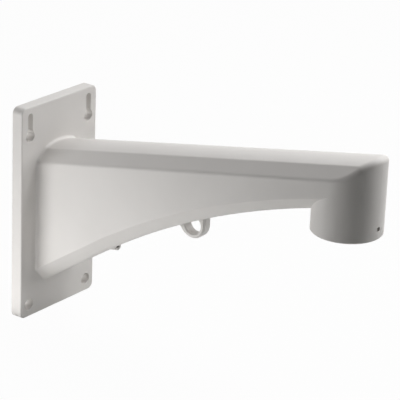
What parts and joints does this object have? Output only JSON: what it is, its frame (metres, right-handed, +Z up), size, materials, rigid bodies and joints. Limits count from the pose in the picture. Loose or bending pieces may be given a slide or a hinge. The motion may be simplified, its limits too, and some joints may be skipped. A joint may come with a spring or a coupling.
{
  "type": "camera wall bracket",
  "caption": "Hollow cast arm on a rectangular wall plate, rising to an upright threaded collar that a camera hangs from, with keyholes, a cable channel and an eye for a safety cord.",
  "frame": {"origin": "middle point between the two lower wall screws, in the plane of the plate's back face", "axes": "+X out from the wall along the arm, +Y to the right as seen from the front, +Z up"},
  "size_m": [0.3485, 0.1, 0.2287],
  "materials": {
    "coated_casting": "satin powder coat, warm pale grey, over cast aluminium"
  },
  "bodies": {
    "root": {"wall_bracket": "coated_casting"}
  },
  "joints": []
}
